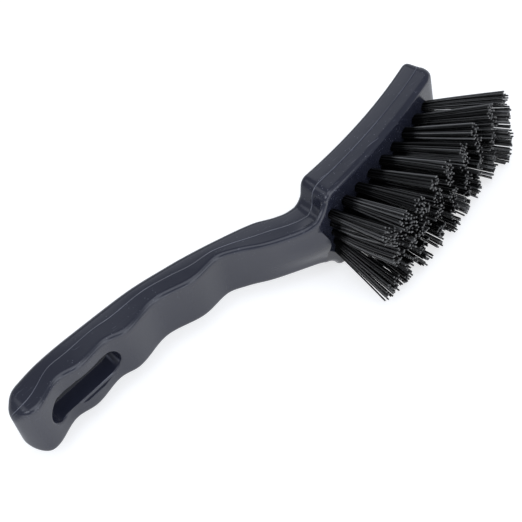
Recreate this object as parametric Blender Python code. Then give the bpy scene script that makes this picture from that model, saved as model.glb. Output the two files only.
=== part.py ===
"""Hand scrub brush: a moulded body with finger grooves and a hang slot, and a fan of stapled bristle tufts.

The brush lies on its side, in metres. +X runs from the tail of the handle to the tip of the head,
+Y from the bristle side to the back, and +Z up through the width. In the design frame the heel,
where the handle meets the head, is at x = 0 and the middle of the width is at z = 0. The finished
brush is then set on the ground, with the middle of its outline over the origin.
"""

import random
from bisect import bisect_right
from collections import namedtuple
from math import asin, cos, pi, radians, sin, sqrt, tan

import bmesh
import bpy
import numpy as np
from mathutils import Matrix, Vector

# Overall sizes
HANDLE_LENGTH = 0.122
HEAD_LENGTH = 0.0734
HEAD_WIDTH = 0.0374
HANDLE_WIDTH = 0.0205
NECK_WIDTH = 0.0190
TAIL_WIDTH = 0.0240

# Grip side of the handle, heel end last: crests and valleys of the four finger grooves, then the heel
GRIP_OUTLINE = (
    (-0.1220, 0.0096),
    (-0.1155, 0.0073),
    (-0.1023, 0.0119),
    (-0.0953, 0.0108),
    (-0.0829, 0.0131),
    (-0.0758, 0.0115),
    (-0.0610, 0.0146),
    (-0.0456, 0.0115),
    (-0.0350, 0.0128),
    (-0.0275, 0.0096),
    (-0.0199, 0.0047),
    (-0.0112, 0.0005),
    (-0.0055, -0.0018),
    (-0.0010, -0.0031),
)

# Back of the handle, from the tail over the palm swell and the neck hollow to the head
BACK_OUTLINE = (
    (-0.1220, 0.0204),
    (-0.1156, 0.0222),
    (-0.1050, 0.0246),
    (-0.0880, 0.0263),
    (-0.0674, 0.0275),
    (-0.0479, 0.0254),
    (-0.0292, 0.0216),
    (-0.0156, 0.0182),
    (-0.0085, 0.0143),
    (-0.0033, 0.0126),
    (0.0050, 0.0124),
)

# The handle widens from its middle to the tail, and narrows from its middle to the neck
FLARE_START = -0.065
FLARE_END = -0.105
WAIST_START = -0.035
WAIST_END = -0.012

# Arched head: the bristle face and the back are arcs that rise towards the tip
FACE_HEEL_LEVEL = -0.0029
FACE_HEEL_SLOPE = radians(6.4)
FACE_RADIUS = 0.330
HEAD_BACK_SLOPE = radians(4.1)
HEAD_BACK_RADIUS = 0.225

# The ends of the head stand square to its chord, so its sections lean back from the bristle face
HEAD_LEAN = 0.16
LEAN_START = -0.008
LEAN_ROUNDS = 4

# Heel: a domed pad under the neck that ends in a crisp, bowed crease at the bristle face
DOME_START = -0.030
DOME_HEIGHT = 0.0034
CREASE_EDGE = -0.0020
CREASE_BOW = 0.0014
LIP_RUN = 0.0007

# Step from the narrow neck to the wide head, seen from the back
STEP_START = 0.0008
STEP_TURN = radians(76)
STEP_HOLLOW_RADIUS = 0.0024
STEP_CORNER_RADIUS = 0.00265

# Edge roundings
HANDLE_FRONT_FILLET = 0.0024
HANDLE_BACK_FILLET = 0.0040
HEAD_FRONT_FILLET = 0.0020
HEAD_BACK_FILLET = 0.0025
FULLEST_FILLET_SHARE = 0.42

# End roundings: run along X and depth across it
TAIL_BACK_ROUND = (0.0080, 0.0056)
TAIL_FRONT_ROUND = (0.0060, 0.0044)
TAIL_SIDE_ROUND = (0.0060, 0.0060)
TIP_BACK_ROUND = (0.0026, 0.0025)
TIP_FRONT_ROUND = (0.0075, 0.0070)
TIP_SIDE_ROUND = (0.0050, 0.0050)

# Hang slot through the tail, drawn from both sides, so it is narrowest at the parting line
SLOT_LENGTH = 0.0310
SLOT_WIDTH = 0.0078
SLOT_FROM_TAIL = 0.0105
SLOT_DRAFT = radians(3.5)
SLOT_OVERRUN = 0.0030

# Tufts: drilled blind holes in straight rows and columns that fan out both ways
COLUMN_PITCH = 0.00745
ROW_PITCH = 0.0050
HEEL_MARGIN = 0.00495
TIP_MARGIN = 0.0084
SIDE_MARGIN = 0.0085
FIRST_COLUMN_LEAN = radians(1.1)
LAST_COLUMN_LEAN = radians(34.2)
ROW_SPLAY = radians(6.4)
HOLE_RADIUS = 0.0018
HOLE_DEPTH = 0.0070
CLEARANCE = 0.0003

# Bristles of one tuft, from the packed bundle at the root to the open tip
BRISTLE_LENGTH = 0.0277
BRISTLE_RADIUS = 0.00035
RING_BRISTLES = 8
ROOT_SPREAD = 0.00100
TIP_SPREAD = 0.00205
TRIM_UNEVENNESS = 0.0004
BUNDLE_RISE = 0.0003
BRISTLE_SINK = 0.0010
TUFT_PATTERNS = 3

# Flat metal anchor across the fold of each bundle
ANCHOR_LENGTH = 0.0026
ANCHOR_THICKNESS = 0.0005
ANCHOR_DEPTH = 0.0012
ANCHOR_SHOW = 0.0008

# Fineness of the facets
TAIL_STEPS = 7
HANDLE_STEPS = 34
STEP_STEPS = 4
HEAD_STEPS = 8
TIP_STEPS = 5
FILLET_STEPS = 3
SLOT_END_STEPS = 8
HOLE_SIDES = 12
BRISTLE_SIDES = 3
SHARP_EDGE = radians(35)

# Worked out from the sizes above
TAIL_END = -HANDLE_LENGTH
HEAD_HALF = HEAD_WIDTH / 2
NECK_HALF = NECK_WIDTH / 2
RISER_RISE = HEAD_HALF - NECK_HALF - (STEP_HOLLOW_RADIUS + STEP_CORNER_RADIUS) * (1 - cos(STEP_TURN))
STEP_CORNER = STEP_START + STEP_HOLLOW_RADIUS * sin(STEP_TURN) + RISER_RISE / tan(STEP_TURN)
STEP_END = STEP_CORNER + STEP_CORNER_RADIUS * sin(STEP_TURN)
TUFT_COLUMNS = int((HEAD_LENGTH - HEEL_MARGIN - TIP_MARGIN) / COLUMN_PITCH) + 1
TUFT_ROWS = int((HEAD_WIDTH - 2 * SIDE_MARGIN) / ROW_PITCH) + 1
BUNDLE_RADIUS = HOLE_RADIUS - CLEARANCE
BUNDLE_DEPTH = HOLE_DEPTH - CLEARANCE - ANCHOR_SHOW

Station = namedtuple("Station", "x side turn front_fillet back_fillet head bow")


def clear_scene():
    """Remove every object of the open scene."""
    for leftover in list(bpy.data.objects):
        bpy.data.objects.remove(leftover, do_unlink=True)


def new_collection(name):
    """Add an empty collection to the scene."""
    collection = bpy.data.collections.new(name)
    bpy.context.scene.collection.children.link(collection)
    return collection


def principled(name, colour, roughness):
    """A plain plastic material from a linear colour and a roughness."""
    material = bpy.data.materials.new(name)
    material.use_nodes = True
    shader = material.node_tree.nodes["Principled BSDF"]
    shader.inputs["Base Color"].default_value = (*colour, 1.0)
    shader.inputs["Roughness"].default_value = roughness
    shader.inputs["Metallic"].default_value = 0.0
    return material


def add_object(name, mesh, collection, parent=None):
    """Put a mesh in the scene under a name."""
    obj = bpy.data.objects.new(name, mesh)
    collection.objects.link(obj)
    obj.parent = parent
    return obj


def add_cutter(name, mesh, collection, parent):
    """Put a helper in the scene that shapes other pieces and isn't one itself."""
    cutter = add_object(name, mesh, collection, parent)
    cutter.hide_render = True
    cutter.display_type = "WIRE"
    return cutter


def add_boolean(obj, name, other, operation):
    """Cut another object from this one, or join it to this one."""
    boolean = obj.modifiers.new(name, "BOOLEAN")
    boolean.operation = operation
    boolean.solver = "EXACT"
    boolean.object = other


def mesh_from(bm, name):
    """Close a bmesh into a mesh with its faces pointing out."""
    bmesh.ops.recalc_face_normals(bm, faces=bm.faces)
    mesh = bpy.data.meshes.new(name)
    bm.to_mesh(mesh)
    bm.free()
    return mesh


def smooth_level(outline, x):
    """Level of a smooth curve through an outline's points, with no overshoot between them."""
    places = [point[0] for point in outline]
    levels = [point[1] for point in outline]
    x = min(max(x, places[0]), places[-1])
    index = min(bisect_right(places, x) - 1, len(places) - 2)
    rises = [
        (levels[i + 1] - levels[i]) / (places[i + 1] - places[i])
        for i in range(len(places) - 1)
    ]

    def slope(i):
        if i in (0, len(places) - 1):
            return rises[min(i, len(rises) - 1)]
        before, after = rises[i - 1], rises[i]
        return 2 * before * after / (before + after) if before * after > 0 else 0.0

    run = places[index + 1] - places[index]
    t = (x - places[index]) / run
    return (
        levels[index] * (1 + 2 * t) * (1 - t) ** 2
        + levels[index + 1] * t * t * (3 - 2 * t)
        + run * slope(index) * t * (1 - t) ** 2
        - run * slope(index + 1) * t * t * (1 - t)
    )


def arc_level(x, start_x, start_level, start_slope, radius):
    """Level of an arc that starts at a place with a slope and curves towards the back."""
    turn = asin(sin(start_slope) + (x - start_x) / radius)
    return start_level + radius * (cos(start_slope) - cos(turn))


def face_level(x):
    """Level of the bristle face."""
    return arc_level(x, 0.0, FACE_HEEL_LEVEL, FACE_HEEL_SLOPE, FACE_RADIUS)


def grip_level(x):
    """Level of the grip side at the edges of the handle."""
    return smooth_level(GRIP_OUTLINE, x)


def back_level(x):
    """Level of the back, along the handle and then along the head's arc."""
    join_x, join_level = BACK_OUTLINE[-1]
    if x < join_x:
        return smooth_level(BACK_OUTLINE, x)
    return arc_level(x, join_x, join_level, HEAD_BACK_SLOPE, HEAD_BACK_RADIUS)


def ease(t):
    """Smooth change from 0 to 1."""
    t = min(max(t, 0.0), 1.0)
    return t * t * (3 - 2 * t)


def swell(share):
    """Height of a soft crest at a share of its half width, 1 in its middle and 0 at its edge."""
    return (1 + cos(pi * min(share, 1.0))) / 2


def rounding(distance, size):
    """How far a rounded end draws in at a distance from it, for a (run, depth) rounding."""
    run, depth = size
    if distance >= run:
        return 0.0
    return depth * (1 - sqrt(1 - (1 - distance / run) ** 2))


def handle_station(x, bow=0.0):
    """Section of the handle, narrowed where it nears the rounded tail."""
    flare = ease((FLARE_START - x) / (FLARE_START - FLARE_END))
    waist = ease((x - WAIST_START) / (WAIST_END - WAIST_START))
    width = HANDLE_WIDTH + flare * (TAIL_WIDTH - HANDLE_WIDTH) + waist * (NECK_WIDTH - HANDLE_WIDTH)
    side = width / 2 - rounding(x - TAIL_END, TAIL_SIDE_ROUND)
    return Station(x, side, 0.0, HANDLE_FRONT_FILLET, HANDLE_BACK_FILLET, False, bow)


def head_station(x, side, turn=0.0, bow=0.0):
    """Section of the head, narrowed where it nears the rounded tip."""
    blend = ease((x - STEP_START) / (STEP_CORNER - STEP_START))
    return Station(
        x,
        side - rounding(HEAD_LENGTH - x, TIP_SIDE_ROUND),
        turn,
        HANDLE_FRONT_FILLET + blend * (HEAD_FRONT_FILLET - HANDLE_FRONT_FILLET),
        HANDLE_BACK_FILLET + blend * (HEAD_BACK_FILLET - HANDLE_BACK_FILLET),
        True,
        bow,
    )


def spaced(start, end, steps):
    """Evenly spaced places from start up to, but not with, end."""
    return [start + (end - start) * step / steps for step in range(steps)]


def step_stations():
    """Sections up the step from the neck to the head: hollow corner, slanted riser, outer corner."""
    turns = spaced(0.0, STEP_TURN, STEP_STEPS) + [STEP_TURN]
    stations = []
    for turn in turns:
        side = NECK_HALF + STEP_HOLLOW_RADIUS * (1 - cos(turn))
        stations.append(head_station(STEP_START + STEP_HOLLOW_RADIUS * sin(turn), side, turn))
    for turn in reversed(turns):
        side = HEAD_HALF - STEP_CORNER_RADIUS * (1 - cos(turn))
        stations.append(head_station(STEP_END - STEP_CORNER_RADIUS * sin(turn), side, turn))
    return stations


def body_stations():
    """Every section of the body from the tail to the tip."""
    tail_run = max(TAIL_BACK_ROUND[0], TAIL_FRONT_ROUND[0], TAIL_SIDE_ROUND[0])
    tip_run = max(TIP_BACK_ROUND[0], TIP_FRONT_ROUND[0], TIP_SIDE_ROUND[0])
    places = [TAIL_END + tail_run * (1 - cos(turn)) for turn in spaced(0.0, pi / 2, TAIL_STEPS)]
    places += spaced(TAIL_END + tail_run, CREASE_EDGE - LIP_RUN, HANDLE_STEPS)
    stations = [handle_station(x) for x in places]
    stations.append(handle_station(CREASE_EDGE, CREASE_BOW))
    stations.append(head_station(CREASE_EDGE + LIP_RUN, NECK_HALF, 0.0, CREASE_BOW))
    stations += step_stations()
    places = spaced(STEP_END, HEAD_LENGTH - tip_run, HEAD_STEPS)[1:]
    places += [HEAD_LENGTH - tip_run * (1 - sin(turn)) for turn in spaced(0.0, pi / 2, TIP_STEPS)]
    places.append(HEAD_LENGTH)
    stations += [head_station(x, HEAD_HALF) for x in places]
    return stations


def lean_at(x):
    """Lean of the sections at a place: none on the handle, full on the head."""
    return HEAD_LEAN * ease((x - LEAN_START) / -LEAN_START)


def front_point(station, inset, drop, share):
    """Point on the grip side or the bristle face: share is its place across the flat, 1 at the edge."""
    flat = station.side - cos(station.turn) * inset
    x = station.x + sin(station.turn) * inset + station.bow * swell(share)
    if station.head:
        level = face_level(x) + rounding(HEAD_LENGTH - x, TIP_FRONT_ROUND)
    else:
        dome = DOME_HEIGHT * ease((x - DOME_START) / -DOME_START)
        level = grip_level(x) + rounding(x - TAIL_END, TAIL_FRONT_ROUND) - dome * swell(share)
    return (x - lean_at(x) * drop, level + drop, share * flat)


def back_point(station, inset, drop, share):
    """Point on the back, where the head leans back from its bristle face."""
    flat = station.side - cos(station.turn) * inset
    reference = station.x + sin(station.turn) * inset
    front = face_level(reference) if station.head else grip_level(reference)
    ends = rounding(reference - TAIL_END, TAIL_BACK_ROUND) + rounding(HEAD_LENGTH - reference, TIP_BACK_ROUND)
    x = reference
    for _ in range(LEAN_ROUNDS):
        y = back_level(x) - ends - drop
        x = reference - lean_at(reference) * (y - front)
    return (x, y, share * flat)


def half_section(station):
    """Points of one section, from the middle of the back round one side to the middle of the front."""
    front_middle = front_point(station, 0.0, 0.0, 1.0)
    back_middle = back_point(station, 0.0, 0.0, 1.0)
    thickness = back_middle[1] - front_middle[1]
    fullest = FULLEST_FILLET_SHARE * min(thickness, 2 * station.side)
    back_fillet = min(station.back_fillet, fullest)
    front_fillet = min(station.front_fillet, fullest)
    quarter = [pi / 2 * step / FILLET_STEPS for step in range(FILLET_STEPS + 1)]
    back = [back_point(station, back_fillet, 0.0, 0.0)]
    for turn in quarter:
        back.append(back_point(station, back_fillet * (1 - sin(turn)), back_fillet * (1 - cos(turn)), 1.0))
    front = []
    for turn in quarter:
        front.append(front_point(station, front_fillet * (1 - cos(turn)), front_fillet * (1 - sin(turn)), 1.0))
    for share in (2 / 3, 1 / 3, 0.0):
        front.append(front_point(station, front_fillet, 0.0, share))
    parting = tuple((above + below) / 2 for above, below in zip(back[-1], front[0]))
    return back + [parting] + front


def body_mesh():
    """Loft of the body through all of its sections, closed at the tail and the tip."""
    bm = bmesh.new()
    rings = []
    for station in body_stations():
        half = half_section(station)
        other_half = [(x, y, -z) for x, y, z in half[-2:0:-1]]
        rings.append([bm.verts.new(point) for point in half + other_half])
    for ring, following in zip(rings, rings[1:]):
        for i in range(len(ring)):
            j = (i + 1) % len(ring)
            bm.faces.new((ring[i], ring[j], following[j], following[i]))
    ends = [bm.faces.new(rings[0]), bm.faces.new(rings[-1])]
    bmesh.ops.poke(bm, faces=ends)
    bmesh.ops.triangulate(bm, faces=bm.faces)
    return mesh_from(bm, "handle_body")


def stadium(length, width):
    """Outline of a slot in X and Z round its own middle."""
    radius = width / 2
    points = []
    for side, start in ((1, -pi / 2), (-1, pi / 2)):
        for step in range(SLOT_END_STEPS + 1):
            turn = start + pi * step / SLOT_END_STEPS
            points.append((side * (length / 2 - radius) + radius * cos(turn), radius * sin(turn)))
    return points


def slot_mesh():
    """Cutter for the hang slot: it widens from the parting line towards both mouths."""
    middle_x = TAIL_END + SLOT_FROM_TAIL + SLOT_LENGTH / 2
    front = grip_level(middle_x)
    back = back_level(middle_x)
    parting = (front + back) / 2
    reach = (back - front) / 2
    bm = bmesh.new()
    rings = []
    for y in (parting - reach - SLOT_OVERRUN, parting, parting + reach + SLOT_OVERRUN):
        growth = 2 * (abs(y - parting) - reach) * sin(SLOT_DRAFT)
        outline = stadium(SLOT_LENGTH + growth, SLOT_WIDTH + growth)
        rings.append([bm.verts.new((middle_x + x, y, z)) for x, z in outline])
    for ring, following in zip(rings, rings[1:]):
        for i in range(len(ring)):
            j = (i + 1) % len(ring)
            bm.faces.new((ring[i], ring[j], following[j], following[i]))
    bm.faces.new(rings[0])
    bm.faces.new(rings[-1])
    return mesh_from(bm, "slot_cutter")


def tuft_axes():
    """Row, column, root point and outward direction of every tuft."""
    axes = []
    for column in range(TUFT_COLUMNS):
        along = HEEL_MARGIN + column * COLUMN_PITCH
        turn = FACE_HEEL_SLOPE + along / FACE_RADIUS
        x = FACE_RADIUS * (sin(turn) - sin(FACE_HEEL_SLOPE))
        share = column / max(TUFT_COLUMNS - 1, 1)
        lean = FIRST_COLUMN_LEAN + share * (LAST_COLUMN_LEAN - FIRST_COLUMN_LEAN)
        for row in range(TUFT_ROWS):
            place = row - (TUFT_ROWS - 1) / 2
            splay = place * ROW_SPLAY
            root = Vector((x, face_level(x), place * ROW_PITCH))
            outward = Vector((cos(splay) * sin(lean), -cos(splay) * cos(lean), sin(splay)))
            axes.append((row, column, root, outward))
    return axes


def turned(root, outward):
    """Matrix that sets a tuft's own +Z along its direction, with its root at its place."""
    return Matrix.Translation(root) @ outward.to_track_quat("Z", "Y").to_matrix().to_4x4()


def hole_mesh():
    """Cutter for all the blind tuft holes, each drilled along its own tuft."""
    bm = bmesh.new()
    above = 2 * HOLE_RADIUS
    middle = Matrix.Translation((0.0, 0.0, (above - HOLE_DEPTH) / 2))
    for _, _, root, outward in tuft_axes():
        bmesh.ops.create_cone(
            bm,
            cap_ends=True,
            segments=HOLE_SIDES,
            radius1=HOLE_RADIUS,
            radius2=HOLE_RADIUS,
            depth=HOLE_DEPTH + above,
            matrix=turned(root, outward) @ middle,
        )
    return mesh_from(bm, "hole_cutter")


def bundle_mesh(name):
    """Packed root of a tuft, a little slimmer than its hole."""
    bm = bmesh.new()
    bmesh.ops.create_cone(
        bm,
        cap_ends=True,
        segments=HOLE_SIDES,
        radius1=BUNDLE_RADIUS,
        radius2=BUNDLE_RADIUS,
        depth=BUNDLE_DEPTH + BUNDLE_RISE,
        matrix=Matrix.Translation((0.0, 0.0, (BUNDLE_RISE - BUNDLE_DEPTH) / 2)),
    )
    return mesh_from(bm, name)


def bristle(bm, azimuth, root_spread, tip_spread, length):
    """One straight three-sided bristle that leans away from the tuft's middle."""
    rings = []
    for height, spread in ((-BRISTLE_SINK, root_spread), (length, tip_spread)):
        centre = Vector((spread * cos(azimuth), spread * sin(azimuth), height))
        ring = []
        for side in range(BRISTLE_SIDES):
            turn = azimuth + 2 * pi * side / BRISTLE_SIDES
            ring.append(bm.verts.new(centre + BRISTLE_RADIUS * Vector((cos(turn), sin(turn), 0.0))))
        rings.append(ring)
    for i in range(BRISTLE_SIDES):
        j = (i + 1) % BRISTLE_SIDES
        bm.faces.new((rings[0][i], rings[0][j], rings[1][j], rings[1][i]))
    bm.faces.new(rings[0][::-1])
    bm.faces.new(rings[1])


def inner_parts_mesh(name, dice):
    """The bristles of one tuft and the anchor under its fold."""
    bm = bmesh.new()
    for index in range(RING_BRISTLES):
        azimuth = 2 * pi * index / RING_BRISTLES
        length = BRISTLE_LENGTH + dice.uniform(-1.0, 1.0) * TRIM_UNEVENNESS
        bristle(bm, azimuth, ROOT_SPREAD, TIP_SPREAD * dice.uniform(0.88, 1.0), length)
    bristle(bm, 0.0, 0.0, 0.0, BRISTLE_LENGTH + dice.uniform(-1.0, 1.0) * TRIM_UNEVENNESS)
    bar_size = Matrix.Diagonal((ANCHOR_LENGTH, ANCHOR_THICKNESS, ANCHOR_DEPTH, 1.0))
    bar_middle = -BUNDLE_DEPTH - ANCHOR_SHOW + ANCHOR_DEPTH / 2
    bmesh.ops.create_cube(bm, size=1.0, matrix=Matrix.Translation((0.0, 0.0, bar_middle)) @ bar_size)
    return mesh_from(bm, name)


def tuft_mesh(pattern, helpers):
    """One whole tuft as a single closed body: bundle, bristles and anchor joined."""
    dice = random.Random(pattern)
    bundle = add_cutter(f"bundle_{pattern}", bundle_mesh(f"bundle_{pattern}"), helpers, None)
    inner = add_cutter(f"inner_{pattern}", inner_parts_mesh(f"inner_{pattern}", dice), helpers, None)
    add_boolean(bundle, "join_bristles", inner, "UNION")
    graph = bpy.context.evaluated_depsgraph_get()
    mesh = bpy.data.meshes.new_from_object(bundle.evaluated_get(graph))
    mesh.name = f"tuft_{pattern}"
    for helper in (bundle, inner):
        bpy.data.objects.remove(helper, do_unlink=True)
    return mesh


def add_body(parts, cutters, frame):
    """The moulded body: handle, neck and head in one piece, with its slot and its tuft holes."""
    body = add_object("handle_body", body_mesh(), parts, frame)
    body.data.materials.append(principled("conductive_polypropylene", (0.023, 0.024, 0.031), 0.45))
    add_boolean(body, "hang_slot", add_cutter("slot_cutter", slot_mesh(), cutters, frame), "DIFFERENCE")
    add_boolean(body, "tuft_holes", add_cutter("hole_cutter", hole_mesh(), cutters, frame), "DIFFERENCE")
    body.data.shade_smooth()
    body.data.set_sharp_from_angle(angle=SHARP_EDGE)


def add_tufts(parts, cutters, frame):
    """Every tuft in its own hole."""
    nylon = principled("black_nylon_filament", (0.008, 0.008, 0.009), 0.40)
    meshes = [tuft_mesh(pattern, cutters) for pattern in range(TUFT_PATTERNS)]
    for mesh in meshes:
        mesh.materials.clear()
        mesh.materials.append(nylon)
    for row, column, root, outward in tuft_axes():
        mesh = meshes[(row + 2 * column) % TUFT_PATTERNS]
        tuft = add_object(f"tuft_row{row + 1}_col{column + 1}", mesh, parts, frame)
        tuft.matrix_local = turned(root, outward)


def set_on_ground(parts, frame):
    """Move the frame so that the brush stands on the ground with its middle over the origin."""
    bpy.context.view_layer.update()
    graph = bpy.context.evaluated_depsgraph_get()
    corners = []
    for obj in parts.objects:
        if obj.type != "MESH":
            continue
        mesh = obj.evaluated_get(graph).to_mesh()
        points = np.array([vertex.co for vertex in mesh.vertices]) @ np.array(obj.matrix_world.to_3x3()).T
        points += np.array(obj.matrix_world.translation)
        corners += [points.min(axis=0), points.max(axis=0)]
        obj.evaluated_get(graph).to_mesh_clear()
    low = np.min(corners, axis=0)
    high = np.max(corners, axis=0)
    frame.location = (-(low[0] + high[0]) / 2, -(low[1] + high[1]) / 2, -low[2])


def main():
    """Build the brush."""
    clear_scene()
    parts = new_collection("scrub_brush")
    cutters = new_collection("cutters")
    frame = bpy.data.objects.new("brush_frame", None)
    parts.objects.link(frame)
    add_body(parts, cutters, frame)
    add_tufts(parts, cutters, frame)
    set_on_ground(parts, frame)


main()
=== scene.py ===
"""Dressed model of a hand scrub brush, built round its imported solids.

Lengths are in metres, in the frame of the solids: +X runs from the tail of the handle to the tip
of the head, +Y from the bristle side to the back, and +Z up through the width. The shapes are
worked out in the brush's own design frame, with the heel at x = 0 and the middle of the width at
z = 0, and are then set down where the solids are.
"""

from __future__ import annotations

import logging
import random
from bisect import bisect_right
from dataclasses import dataclass, replace
from enum import Enum, IntEnum
from functools import partial
from math import asin, atan, cos, pi, radians, sin, sqrt, tan

import bmesh
import bpy
from bpy.types import Material, Mesh, Node, NodeSocket, NodeTree, Object
from mathutils import Matrix, Vector


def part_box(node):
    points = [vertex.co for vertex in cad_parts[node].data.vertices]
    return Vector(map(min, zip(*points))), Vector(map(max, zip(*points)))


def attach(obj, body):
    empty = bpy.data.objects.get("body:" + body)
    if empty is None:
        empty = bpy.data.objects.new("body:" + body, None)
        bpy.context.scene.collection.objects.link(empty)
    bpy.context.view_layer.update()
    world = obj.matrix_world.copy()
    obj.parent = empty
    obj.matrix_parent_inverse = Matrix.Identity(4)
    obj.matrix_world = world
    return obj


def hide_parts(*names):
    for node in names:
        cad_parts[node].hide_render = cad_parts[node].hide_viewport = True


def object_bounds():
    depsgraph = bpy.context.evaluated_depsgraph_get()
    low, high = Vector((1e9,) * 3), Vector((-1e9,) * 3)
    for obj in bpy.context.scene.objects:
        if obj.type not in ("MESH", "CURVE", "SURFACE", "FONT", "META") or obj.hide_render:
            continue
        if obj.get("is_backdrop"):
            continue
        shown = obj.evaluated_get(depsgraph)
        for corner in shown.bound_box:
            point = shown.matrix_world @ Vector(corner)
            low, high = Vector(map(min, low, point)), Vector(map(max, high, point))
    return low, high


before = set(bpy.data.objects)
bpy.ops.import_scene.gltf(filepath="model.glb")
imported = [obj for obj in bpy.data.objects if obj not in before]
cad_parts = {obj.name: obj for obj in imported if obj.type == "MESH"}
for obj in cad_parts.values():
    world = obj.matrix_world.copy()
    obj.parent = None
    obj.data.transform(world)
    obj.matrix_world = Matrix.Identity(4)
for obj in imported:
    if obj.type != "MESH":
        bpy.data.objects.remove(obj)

LOG = logging.getLogger("scrub_brush")
MM = 0.001
GOLDEN_ANGLE = 2.399963


class MaterialSlot(Enum):
    """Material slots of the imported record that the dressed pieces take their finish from."""

    BODY = "body"
    BRISTLE = "bristle"


class LevelCurve(Enum):
    """Which long outline of the body a level is read from."""

    GRIP = "grip"
    BACK = "back"


class Draw(IntEnum):
    """The random draws of a filament, each by what it adds to the seed of its tuft."""

    ACROSS = 11
    UP = 23
    TRIM = 37
    STRAY = 41
    TONE = 53
    CURL_ACROSS = 71
    CURL_UP = 89


def linear(hex_colour: str) -> tuple[float, float, float, float]:
    """Turn an sRGB colour to linear light.

    Args:
        hex_colour: six hex digits, such as "2a2b31".

    Returns:
        Linear red, green and blue, and an alpha of 1.
    """
    channels = []
    for start in (0, 2, 4):
        value = int(hex_colour[start:start + 2], 16) / 255
        channels.append(value / 12.92 if value <= 0.04045 else ((value + 0.055) / 1.055) ** 2.4)
    return (*channels, 1.0)


def add_node(tree: NodeTree, kind: str, inputs: dict | None = None, stops: list[tuple] | None = None,
             **settings: str) -> Node:
    """Add a node with its settings, and fill its inputs.

    Args:
        tree: the material's or modifier's node tree.
        kind: the node's type name.
        inputs: input name or number to a plain value, to the socket that feeds it, or to the node
            whose first output does.
        stops: position and linear colour of each stop of a colour ramp, lowest first.
        **settings: properties of the node.

    Returns:
        The new node.
    """
    node = tree.nodes.new(kind)
    for name, value in settings.items():
        setattr(node, name, value)
    for key, value in (inputs or {}).items():
        if isinstance(value, Node):
            value = value.outputs[0]
        if isinstance(value, NodeSocket):
            tree.links.new(value, node.inputs[key])
        else:
            node.inputs[key].default_value = value
    if stops:
        elements = node.color_ramp.elements
        elements[0].position, elements[0].color = stops[0]
        elements[-1].position, elements[-1].color = stops[-1]
        for position, colour in stops[1:-1]:
            elements.new(position).color = colour
    return node


@dataclass(frozen=True)
class SoftStep:
    """Change of level between two values of a pattern, such as from clean to scuffed."""

    start: float
    end: float
    before: float = 0.0
    after: float = 1.0

    def stops(self) -> list[tuple]:
        """Stops of the colour ramp that makes the change."""
        return [(value, (level, level, level, 1.0))
                for value, level in ((self.start, self.before), (self.end, self.after))]


class Finish:
    """A finish, which names its material and adds that material's nodes in surface()."""

    name: str

    def build(self) -> Material:
        """Build the material.

        Returns:
            The finished material.
        """
        material = bpy.data.materials.new(self.name)
        material.use_nodes = True
        tree = material.node_tree
        tree.nodes.clear()
        place = add_node(tree, "ShaderNodeTexCoord").outputs["Object"]
        add_node(tree, "ShaderNodeOutputMaterial", {"Surface": self.surface(tree, place)})
        return material

    def surface(self, tree: NodeTree, place: NodeSocket) -> Node:
        """Shader of the finish, which each finish adds in its own way."""
        raise NotImplementedError


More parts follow.
